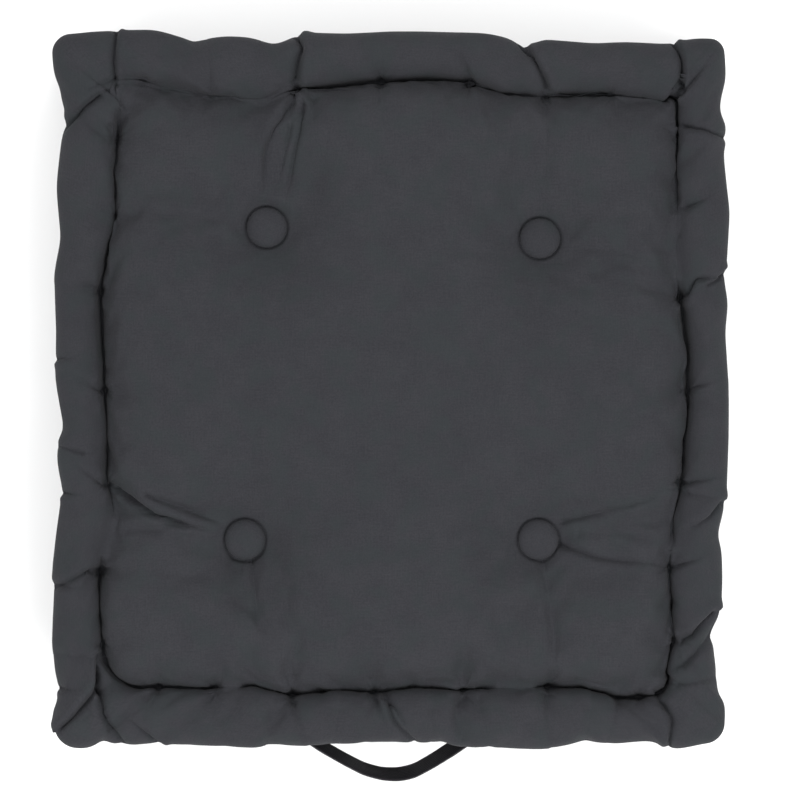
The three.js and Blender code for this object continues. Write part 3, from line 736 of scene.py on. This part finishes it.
# Each stitch pulls a hole in the groove, with a fan of small gathers about it.
STITCH_HOLE = 2.0
HOLE_WIDTH = 2.6
rng = np.random.default_rng(7)
for level, weight in (("upper", over), ("lower", under)):
    for stitch in lines[level][2]:
        gap = points[:, :2] - stitch
        near = (weight > 0) & (np.abs(gap).max(axis=1) < 32)
        distance, angle = np.hypot(*gap[near].T), np.arctan2(gap[near, 1], gap[near, 0])
        waves = np.sin(rng.integers(7, 11) * angle + rng.uniform(0, 6))
        waves += 0.5 * np.sin(17 * angle + rng.uniform(0, 6))
        gathers = 0.5 * waves * np.exp(-distance / 10) * (1 - np.exp(-distance / 3))
        hole = STITCH_HOLE * rng.uniform(0.4, 1.2) * bell(distance, HOLE_WIDTH)
        is_drawn = np.clip((depth_along(stitch[None]) - 8) / 8, 0, 1) if level == "upper" else 1
        lowered[near] += weight[near] * is_drawn * (gathers + hole)

# Seams: the outer line of both rolls, and down each corner of the border.
SEAM_DEPTH = 1.1
SEAM_WIDTH = 1.3
seam_rows = (ROLL_ANGLES.index(0) + 1, n_rows - 2 - ROLL_ANGLES.index(0))
for seam_row in seam_rows:
    lowered += SEAM_DEPTH * bell((row - seam_row) * row_step, SEAM_WIDTH)
on_border = np.clip((row - seam_rows[0]) / 1.5, 0, 1) * np.clip((seam_rows[1] - row) / 1.5, 0, 1)
for seam_column in corner_columns:
    lowered += SEAM_DEPTH * on_border * bell((column - seam_column) * column_step, SEAM_WIDTH)

# Slack in the border strips and the odd puckers along the seams.
wander = np.sin(column * 0.9) * np.sin(column * 0.37 + 1) + 0.6 * np.sin(column * 1.7 + row * 0.4)
lowered += 0.45 * on_border * wander
bridged = np.clip(attribute(mesh, "raised") / 2, 0, 1)[:, None]
points -= (normals * (1 - bridged) + np.array([0, 0, 1]) * bridged) * lowered[:, None]
points[:, 2] = np.maximum(points[:, 2] - sunk, 0.2)
# The strap's ends lie flat against the border.
STRAP_SEAT_Y = -213.3  # the border stands out no further than this behind the strap
strap_seat = behind_strap(points, 104, -200)
points[strap_seat, 1] = np.maximum(points[strap_seat, 1], STRAP_SEAT_Y)
move_to(mesh, points)
for name in ("row", "column", "groove_gap", "raised"):
    mesh.attributes.remove(mesh.attributes[name])
smooth(mesh)

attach(cover, "cushion")
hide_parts("top_panel", "bottom_panel", "border_front", "border_right", "border_back", "border_left",
            "filling")


# ---- Twine stitches ----
# Waxed three-ply cotton twine, 1.4 mm thick. Each stitch that draws a roll up shows on the border, close by
# the roll, and shows in the groove too unless the groove is shallow there.

TWINE_STITCH = 7.0
TWINE_RADIUS = 0.7
SHALLOW = 15  # the upper groove hides a stitch where it is no deeper than this


def thread_material(name, dark, light, fibre):
    """Dyed thread whose fibres run a little unevenly, with the fibre's thickness in metres."""
    material, shader, place = new_material(name)
    fibres = place.noise(1 / fibre, detail=3.0)
    shade = place.noise(60.0)
    colour = (fibres.shaped(0.3, 0.7) * 0.7 + shade * 0.3).mix((*dark, 1), (*light, 1))
    finish_material(shader, colour, fibres.shaped(0, 1, 0.9, 0.7), fibres, fibre)
    return material


def stitch_tree():
    """Geometry Nodes: one arched stitch of twisted thread at each point, set by its 'along' and 'facing'."""
    tree = bpy.data.node_groups.new("stitches", "GeometryNodeTree")
    tree.interface.new_socket("Geometry", in_out="OUTPUT", socket_type="NodeSocketGeometry")
    inputs = {"Geometry": "Geometry", "Stitch length": "Float", "Thread radius": "Float",
              "Thread": "Material"}
    for label, kind in inputs.items():
        tree.interface.new_socket(label, in_out="INPUT", socket_type="NodeSocket" + kind)
    group_input = tree.nodes.new("NodeGroupInput")
    start, length, radius, thread = (Socket(tree, output) for output in group_input.outputs[:4])

    half = length * 0.5
    ends = ((half * -1.0, radius * -1.2), (0.0, radius * 2.0), (half, radius * -1.2))
    first, middle, last = (start.node("ShaderNodeCombineXYZ", {0: x, 2: z}) for x, z in ends)
    bend = {"Start": first, "Middle": middle, "End": last, "Resolution": 12}
    arch = start.node("GeometryNodeCurveQuadraticBezier", bend)
    turn = start.node("GeometryNodeInputIndex") * 0.75
    twisted = start.node("GeometryNodeSetCurveTilt", {"Curve": arch, "Tilt": turn})
    three_plies = {"Points": 3, "Inner Radius": radius * 0.72, "Outer Radius": radius}
    plies = start.node("GeometryNodeCurveStar", three_plies)
    thick = {"Curve": twisted, "Profile Curve": plies, "Fill Caps": True}
    stitch = start.node("GeometryNodeCurveToMesh", thick)
    named = "GeometryNodeInputNamedAttribute"
    along, facing = (start.node(named, {"Name": label}, data_type="FLOAT_VECTOR")
                     for label in ("along", "facing"))
    aim = start.node("FunctionNodeAxesToRotation", {"Primary Axis": along, "Secondary Axis": facing},
                     primary_axis="X", secondary_axis="Z")
    copies = {"Points": start, "Instance": stitch, "Rotation": aim}
    placed = start.node("GeometryNodeInstanceOnPoints", copies)
    real = start.node("GeometryNodeRealizeInstances", {"Geometry": placed})
    coloured = start.node("GeometryNodeSetMaterial", {"Geometry": real, "Material": thread})
    end = tree.nodes.new("NodeGroupOutput")
    tree.links.new(coloured.source, end.inputs[0])
    return tree


def stitched_piece(name, tree, stitches, length, radius, material):
    """One plain mesh of stitches, each given by its place in mm, the way it runs and the way it faces."""
    places, alongs, facings = (np.array(part, float) for part in zip(*stitches))
    dots = new_mesh(name, places, [])
    for label, vectors in (("along", alongs), ("facing", facings)):
        dots.attributes.new(label, "FLOAT_VECTOR", "POINT").data.foreach_set("vector", vectors.ravel())
    seed = new_object(name + "_dots", dots)
    modifier = seed.modifiers.new("stitches", "NODES")
    modifier.node_group = tree
    sockets = {item.name: item.identifier for item in tree.interface.items_tree if item.in_out == "INPUT"}
    modifier[sockets["Stitch length"]] = length * MM
    modifier[sockets["Thread radius"]] = radius * MM
    modifier[sockets["Thread"]] = material
    made = with_modifiers(seed)
    bpy.data.objects.remove(seed)
    return new_piece(name, made, material)


twine = thread_material("twine", (0.016, 0.0165, 0.018), (0.045, 0.046, 0.05), 0.00012)
stitch_nodes = stitch_tree()
stitches = []
for level, sign in (("upper", 1), ("lower", -1)):
    for stitch, out in zip(*lines[level][2:]):
        along = np.array([-out[1], out[0]])
        near = nearest(points[:, :2], stitch[None]) < 3
        in_groove = near & ((points[:, 2] > HALF_WAY) == (level == "upper"))
        z = points[in_groove, 2]
        if level == "lower" or depth_along(stitch[None])[0] > SHALLOW:
            groove_z = (z.min() if sign > 0 else z.max()) + sign * 0.3
            stitches.append(((*stitch, groove_z), (*along, 0), (0, 0, sign)))
        border_z = 63.5 if level == "upper" else 33.5
        is_beside = (abs((points[:, :2] - stitch) @ along) < 5) & (abs(points[:, 2] - border_z) < 3)
        beside = points[is_beside & ((points[:, :2] - stitch) @ out > 5)]
        reach = ((beside[:, :2] - stitch) @ out).min() + 0.3
        stitches.append(((*(stitch + out * reach), border_z), (*along, 0), (*out, 0)))
roll_stitches = stitched_piece("roll_stitches", stitch_nodes, stitches, TWINE_STITCH, TWINE_RADIUS, twine)
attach(roll_stitches, "cushion")
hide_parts("roll_twine_top", "roll_twine_bottom")
for name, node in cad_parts.items():
    if name.startswith("tuft_twine"):
        set_material(node.data, twine)


# ---- Buttons ----
# A disc of the cover's canvas drawn over a pressed steel shell and clamped by its back plate, 26 mm across.
# Twine through the pad joins each upper button to the lower one. The canvas lies smooth on top and gathers
# at the rim.

BUTTON_RADIUS = 12.8
BUTTON_RISE = 5.0  # from the widest line up to the top
BUTTON_RIM = 1.5  # from the underside up to the widest line
BUTTON_SPOKES = 72


def steel_material():
    """Nickel-plated pressed steel, with fine drawn lines and a dull bloom."""
    material, shader, place = new_material("button_steel")
    drawn = place.noise(300.0, stretch=(1, 1, 12))
    bloom = place.noise(90.0, detail=4.0)
    colour = bloom.shaped(0.3, 0.7).mix((0.42, 0.41, 0.39, 1), (0.62, 0.61, 0.58, 1))
    finish_material(shader, colour, bloom.shaped(0.2, 0.8, 0.5, 0.28), drawn, 0.00002)
    shader.inputs["Metallic"].default_value = 1.0
    return material


def button_mesh(centre, seat, up, turn):
    """A dome on the seat, with its canvas laid at an angle and pleated round the rim."""
    profile = [(9.5, 0.9), (9.8, 0.1), (11.2, 0.0), (12.3, 0.4), (12.7, 1.0)]
    for angle in (math.radians(degrees) for degrees in (0, 10, 22, 36, 50, 64, 76, 84)):
        profile.append((BUTTON_RADIUS * math.cos(angle), BUTTON_RIM + BUTTON_RISE * math.sin(angle)))
    points, cut = [], []
    cloth = sum(math.dist(a, b) for a, b in zip(profile, profile[1:])) + profile[-1][0]
    for i, (radius, height) in enumerate(profile):
        cloth -= math.dist(profile[i - 1], profile[i]) if i else 0
        for spoke in range(BUTTON_SPOKES):
            angle = 2 * math.pi * spoke / BUTTON_SPOKES
            pleat = math.sin(19 * angle + turn) + 0.6 * math.sin(31 * angle + 2 * turn)
            pleated = radius - 0.13 * pleat * max(0.0, 1 - height / 4.5) if i > 1 else radius
            x, y = pleated * math.cos(angle), pleated * math.sin(angle) * up
            points.append((centre[0] + x, centre[1] + y, seat + up * height))
            cut.append((cloth * math.cos(angle + turn), cloth * math.sin(angle + turn)))
    points.append((centre[0], centre[1], seat + up * (BUTTON_RIM + BUTTON_RISE)))
    cut.append((0.0, 0.0))
    faces = []
    for i in range(len(profile) - 1):
        for spoke in range(BUTTON_SPOKES):
            after = (spoke + 1) % BUTTON_SPOKES
            base, above = i * BUTTON_SPOKES, (i + 1) * BUTTON_SPOKES
            faces.append((base + spoke, base + after, above + after, above + spoke))
    last = (len(profile) - 1) * BUTTON_SPOKES
    for spoke in range(BUTTON_SPOKES):
        faces.append((last + spoke, last + (spoke + 1) % BUTTON_SPOKES, len(points) - 1))
    faces.append(tuple(reversed(range(BUTTON_SPOKES))))
    return new_mesh("button", points, faces, [cut[corner] for face in faces for corner in face])


canvas = cover.data.materials[0]
steel = steel_material()
for name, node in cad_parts.items():
    if name.startswith(("button_shell", "button_back")):
        set_material(node.data, steel)
    if name.startswith("button_cloth"):
        low, high = (np.array(corner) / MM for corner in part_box(name))
        up = 1 if "_top_" in name else -1
        seat = low[2] if up > 0 else high[2]
        centre = (low + high)[:2] / 2
        mesh = button_mesh(centre, seat, up, centre.sum())
        button = new_piece(name.replace("button_cloth", "button"), mesh, canvas)
        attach(button, "cushion")
        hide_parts(name)


# ---- Handle ----
# One length of black ribbed webbing, 20 mm wide and 2 mm thick. Each end lies flat on the front border, and
# the middle stands out from it in a loop that droops under its own weight.

STRAP_WIDTH = 20.0
STRAP_THICKNESS = 2.0
STRAP_RIBS = 9
STRAP_Y = -214.8  # middle of the strap where it lies on the border
HINGE = (-222.5, STRAP_Z)  # Y and Z of the line about which the loop swings
DROOP = math.radians(20)
SEWN_FROM, SEWN_TO = 67.0, 92.0  # each sewn end, from the middle
# How far the loop stands out from the hinge, at places across.
LOOP = [(-61, 0), (-46, 11), (-31, 20.4), (-18, 27.8), (-6, 31.4), (5, 31.8), (15, 29.4), (28, 21.4),
        (42, 11.6), (57, 0)]


def webbing_material():
    """Black ribbed webbing: ribs along it are in the mesh, and fine picks cross each rib, with painted shade
    between picks.
    """
    material, shader, place = new_material("webbing")
    cut = place.node("ShaderNodeUVMap", uv_map="cut")
    across, along = cut.split()
    rib = (across * (STRAP_RIBS / (STRAP_WIDTH * MM))).math("FLOOR")
    pick = ((along / 0.0011 + rib * 0.5) * math.pi).math("SINE").math("ABSOLUTE")
    fibres = cut.noise(1.0, stretch=(2600, 500, 1))
    worn = place.noise(70.0, detail=4.0)
    # Painted shade: the colour darkens between the picks, so their crests look lighter.
    lightness = fibres.shaped(0.3, 0.7) * 0.4 + pick * 0.25 + worn.shaped(0.35, 0.7) * 0.35
    colour = lightness.mix((0.0066, 0.0056, 0.0082, 1), (0.0205, 0.0185, 0.0235, 1))
    finish_material(shader, colour, lightness.shaped(0, 1, 0.72, 0.55), pick * 0.7 + fibres * 0.3, 0.00022)
    shader.inputs["Specular IOR Level"].default_value = 0.4
    return material


def strap_mesh():
    """Sweeps the ribbed section along the strap's middle line."""
    ends = [(-SEWN_TO, STRAP_Y, HINGE[1]), (-SEWN_FROM, STRAP_Y, HINGE[1])]
    loop = [(x, HINGE[0] - r * math.cos(DROOP), HINGE[1] - r * math.sin(DROOP)) for x, r in LOOP]
    corners = np.array(ends + loop + [(-x, y, z) for x, y, z in ends[::-1]])
    run = run_along(corners)
    places = np.arange(0, run[-1], 1.2)
    line = smoothed(np.column_stack([np.interp(places, run, corners[:, k]) for k in range(3)]), 12)
    direction = np.gradient(line, axis=0)
    direction /= np.linalg.norm(direction, axis=1, keepdims=True)
    in_loop = np.clip((SEWN_FROM - abs(line[:, 0])) / 16, 0, 1)
    in_loop = in_loop * in_loop * (3 - 2 * in_loop)
    lean = in_loop * (DROOP + math.radians(7) * np.clip(line[:, 0] / 40, -0.2, 1))
    width_way = np.column_stack([np.zeros(len(line)), -np.sin(lean), np.cos(lean)])
    width_way -= direction * (width_way * direction).sum(axis=1, keepdims=True)
    width_way /= np.linalg.norm(width_way, axis=1, keepdims=True)
    thick_way = np.cross(width_way, direction)
    across = np.sin(np.linspace(-math.pi / 2, math.pi / 2, 4 * STRAP_RIBS * 2 + 1)) * 0.12
    across = (np.linspace(-1, 1, len(across)) * 0.88 + across) * STRAP_WIDTH / 2
    rib = 0.8 + 0.2 * abs(np.sin(math.pi * STRAP_RIBS * (across / STRAP_WIDTH + 0.5)))
    edge = np.sqrt(np.clip(1 - (2 * abs(across) / STRAP_WIDTH) ** 14, 0, 1))
    half = STRAP_THICKNESS / 2 * rib * np.maximum(edge, 0.25)
    section = np.concatenate([np.column_stack([across, half]), np.column_stack([across[::-1], -half[::-1]])])
    n = len(section)
    points = (line[:, None] + width_way[:, None] * section[None, :, :1]
              + thick_way[:, None] * section[None, :, 1:])
    faces, cut = [], []
    for i in range(len(line) - 1):
        for k in range(n):
            after = (k + 1) % n
            faces.append((i * n + k, i * n + after, (i + 1) * n + after, (i + 1) * n + k))
            for a, b in ((k, i), (after, i), (after, i + 1), (k, i + 1)):
                cut.append((section[a, 0] + STRAP_WIDTH / 2, places[b]))
    for end, order in ((0, -1), (len(line) - 1, 1)):
        faces.append(tuple(end * n + k for k in range(n))[::order])
        cut += [(section[k, 0], places[end]) for k in range(n)][::order]
    mesh = new_mesh("strap", points.reshape(-1, 3), faces, cut)
    tidy = bmesh.new()
    tidy.from_mesh(mesh)
    bmesh.ops.recalc_face_normals(tidy, faces=tidy.faces)
    tidy.to_mesh(mesh)
    tidy.free()
    return mesh


strap = new_piece("handle_strap", strap_mesh(), webbing_material())
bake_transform(strap)
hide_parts("handle_loop", "handle_end_left", "handle_end_right")

# Each end of the strap is sewn down with black polyester thread, in a rectangle crossed corner to corner.
SEWN_FACE = STRAP_Y - STRAP_THICKNESS / 2 - 0.05
BOX_HALF = (9.5, 7.5)
BOX_STITCH = 2.8
BOX_THREAD = 0.35
thread = thread_material("handle_thread", (0.012, 0.012, 0.014), (0.035, 0.035, 0.04), 0.00008)
stitches = []
for sign in (-1, 1):
    middle = np.array([sign * (SEWN_FROM + SEWN_TO + 2) / 2, SEWN_FACE, HINGE[1]])
    corners = [np.array([x * BOX_HALF[0], 0, z * BOX_HALF[1]])
               for x, z in ((-1, -1), (1, -1), (1, 1), (-1, 1))]
    for start, end in ((0, 1), (1, 2), (2, 3), (3, 0), (0, 2), (1, 3)):
        first, last = corners[start], corners[end]
        length = np.linalg.norm(last - first)
        count = round(length / (BOX_STITCH + 0.4))
        for k in range(count):
            place = middle + first + (last - first) * (k + 0.5) / count
            stitches.append((place, (last - first) / length, (0, -1, 0)))
box_stitches = stitched_piece("handle_stitches", stitch_nodes, stitches, BOX_STITCH, BOX_THREAD, thread)
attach(box_stitches, "cushion")
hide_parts("handle_stitching_left", "handle_stitching_right")


# ---- Floor and light ----
# A white floor in soft light from all round. One lamp in front and above models the folds, and four round the
# cushion light it evenly, none of them from straight above, so that its grooves stay dark.

floor_mesh = bpy.data.meshes.new("floor")
floor_mesh.from_pydata([(-4, -4, 0), (4, -4, 0), (4, 4, 0), (-4, 4, 0)], [], [(0, 1, 2, 3)])
floor_material = bpy.data.materials.new("floor")
floor_material.use_nodes = True
floor_material.node_tree.nodes["Principled BSDF"].inputs["Base Color"].default_value = (0.93, 0.93, 0.93, 1)
floor_mesh.materials.append(floor_material)
floor = new_object("floor", floor_mesh)

world = bpy.data.worlds.new("world")
world.use_nodes = True
sky = world.node_tree.nodes["Background"].inputs
sky["Color"].default_value = (1, 1, 1, 1)
sky["Strength"].default_value = 1.06
scene.world = world
for name, position, size, power in (
    ("front_lamp", (0.7, -1.6, 1.9), 0.9, 28),
    ("back_right_lamp", (1.3, 1.3, 2.3), 1.0, 16),
    ("back_left_lamp", (-1.3, 1.3, 2.3), 1.0, 18),
    ("front_left_lamp", (-1.3, -1.3, 2.3), 1.0, 16),
    ("front_right_lamp", (1.3, -1.3, 2.3), 1.0, 14),
):
    data = bpy.data.lights.new(name, "AREA")
    data.size = size
    data.energy = power
    lamp = new_object(name, data)
    lamp.location = position
    lamp.rotation_euler = (-Vector(position)).to_track_quat("-Z", "Y").to_euler()
scene.view_settings.view_transform = "Standard"
